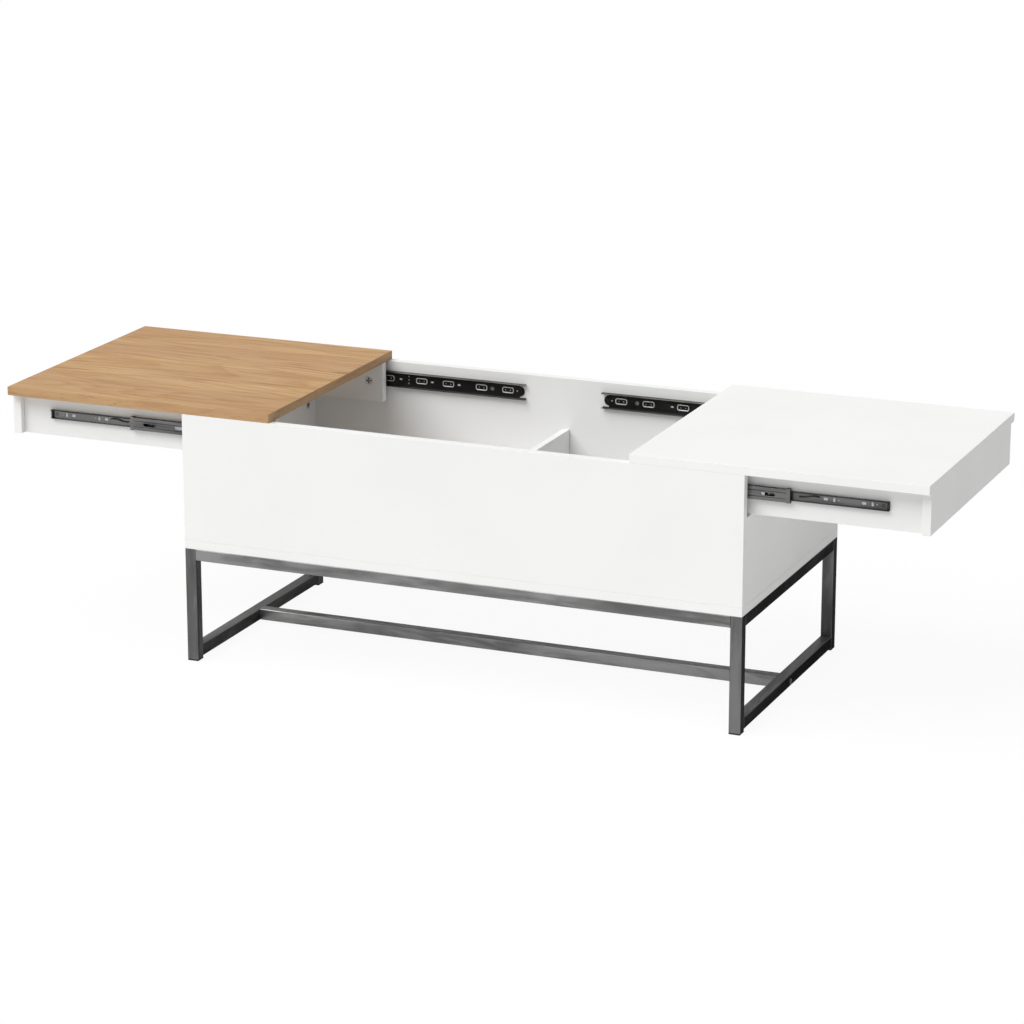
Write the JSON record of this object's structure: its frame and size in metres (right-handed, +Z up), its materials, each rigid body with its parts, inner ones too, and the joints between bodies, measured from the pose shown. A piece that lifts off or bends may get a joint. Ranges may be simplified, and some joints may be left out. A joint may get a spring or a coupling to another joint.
{
  "type": "extending coffee table",
  "caption": "Low storage table on a square tube frame, with two half tops that slide apart on ball slides over a divided box.",
  "frame": {"origin": "on the floor under the middle of the cabinet", "axes": "+X along the cabinet to the right, -Y to the front, +Z up"},
  "size_m": [1.638, 0.495, 0.45],
  "materials": {
    "oak_board": "satin oak decor foil",
    "white_board": "satin white coated board",
    "frame_steel": "gunmetal powder coat",
    "slide_steel": "dark zinc",
    "ball_steel": "polished",
    "cam_zinc": "cast zinc",
    "fastener_steel": "zinc plated",
    "plain_steel": "plain",
    "black_plastic": "matte"
  },
  "bodies": {
    "cabinet": {"back_panel": "white_board", "bottom_board": "white_board", "cabinet_screws": "fastener_steel", "carcass_cam_bolts": "fastener_steel", "carcass_cam_locks": "cam_zinc", "carcass_screws": "fastener_steel", "divider_panel": "white_board", "fixed_slide_screws": "fastener_steel", "foot_glides": "black_plastic", "frame_bolts": "fastener_steel", "front_left_leg": "frame_steel", "front_long_rail": "frame_steel", "front_panel": "white_board", "front_right_leg": "frame_steel", "left_end_panel": "white_board", "left_floor_rail": "frame_steel", "left_front_fixed_slide": "slide_steel", "left_rear_fixed_slide": "slide_steel", "left_side_rail": "frame_steel", "rail_lugs": "frame_steel", "rear_left_leg": "frame_steel", "rear_long_rail": "frame_steel", "rear_right_leg": "frame_steel", "right_end_panel": "white_board", "right_floor_rail": "frame_steel", "right_front_fixed_slide": "slide_steel", "right_rear_fixed_slide": "slide_steel", "right_side_rail": "frame_steel", "stretcher": "frame_steel", "stretcher_nut_blocks": "plain_steel"},
    "left_top": {"left_top_board": "oak_board", "left_front_top_rail": "white_board", "left_rear_top_rail": "white_board", "left_apron": "white_board", "left_cam_locks": "cam_zinc", "left_cam_bolts": "fastener_steel", "left_front_inner_slide": "slide_steel", "left_rear_inner_slide": "slide_steel", "left_slide_screws": "fastener_steel"},
    "left_mid_slides": {"left_front_mid_slide": "slide_steel", "left_rear_mid_slide": "slide_steel"},
    "left_outer_cages": {"left_outer_cages": "slide_steel", "left_outer_balls": "ball_steel"},
    "left_inner_cages": {"left_inner_cages": "slide_steel", "left_inner_balls": "ball_steel"},
    "right_top": {"right_top_board": "white_board", "right_front_top_rail": "white_board", "right_rear_top_rail": "white_board", "right_apron": "white_board", "right_cam_locks": "cam_zinc", "right_cam_bolts": "fastener_steel", "right_front_inner_slide": "slide_steel", "right_rear_inner_slide": "slide_steel", "right_slide_screws": "fastener_steel"},
    "right_mid_slides": {"right_front_mid_slide": "slide_steel", "right_rear_mid_slide": "slide_steel"},
    "right_outer_cages": {"right_outer_cages": "slide_steel", "right_outer_balls": "ball_steel"},
    "right_inner_cages": {"right_inner_cages": "slide_steel", "right_inner_balls": "ball_steel"}
  },
  "joints": [
    {"name": "left_top_slide", "type": "slide", "parent": "cabinet", "child": "left_top", "axis": [-1, 0, 0], "range_m": [-0.336, 0]},
    {"name": "left_mid_slides_roll", "type": "slide", "parent": "cabinet", "child": "left_mid_slides", "axis": [-1, 0, 0], "range_m": [-0.168, 0]},
    {"name": "left_outer_cages_roll", "type": "slide", "parent": "cabinet", "child": "left_outer_cages", "axis": [-1, 0, 0], "range_m": [-0.084, 0]},
    {"name": "left_inner_cages_roll", "type": "slide", "parent": "cabinet", "child": "left_inner_cages", "axis": [-1, 0, 0], "range_m": [-0.252, 0]},
    {"name": "right_top_slide", "type": "slide", "parent": "cabinet", "child": "right_top", "axis": [1, 0, 0], "range_m": [-0.303, 0.033]},
    {"name": "right_mid_slides_roll", "type": "slide", "parent": "cabinet", "child": "right_mid_slides", "axis": [1, 0, 0], "range_m": [-0.1515, 0.0165]},
    {"name": "right_outer_cages_roll", "type": "slide", "parent": "cabinet", "child": "right_outer_cages", "axis": [1, 0, 0], "range_m": [-0.07575, 0.00825]},
    {"name": "right_inner_cages_roll", "type": "slide", "parent": "cabinet", "child": "right_inner_cages", "axis": [1, 0, 0], "range_m": [-0.22725, 0.02475]}
  ],
  "couplings": [
    {"joint": "left_mid_slides_roll", "follows": "left_top_slide", "ratio": 0.5},
    {"joint": "left_outer_cages_roll", "follows": "left_top_slide", "ratio": 0.25},
    {"joint": "left_inner_cages_roll", "follows": "left_top_slide", "ratio": 0.75},
    {"joint": "right_mid_slides_roll", "follows": "right_top_slide", "ratio": 0.5},
    {"joint": "right_outer_cages_roll", "follows": "right_top_slide", "ratio": 0.25},
    {"joint": "right_inner_cages_roll", "follows": "right_top_slide", "ratio": 0.75}
  ]
}
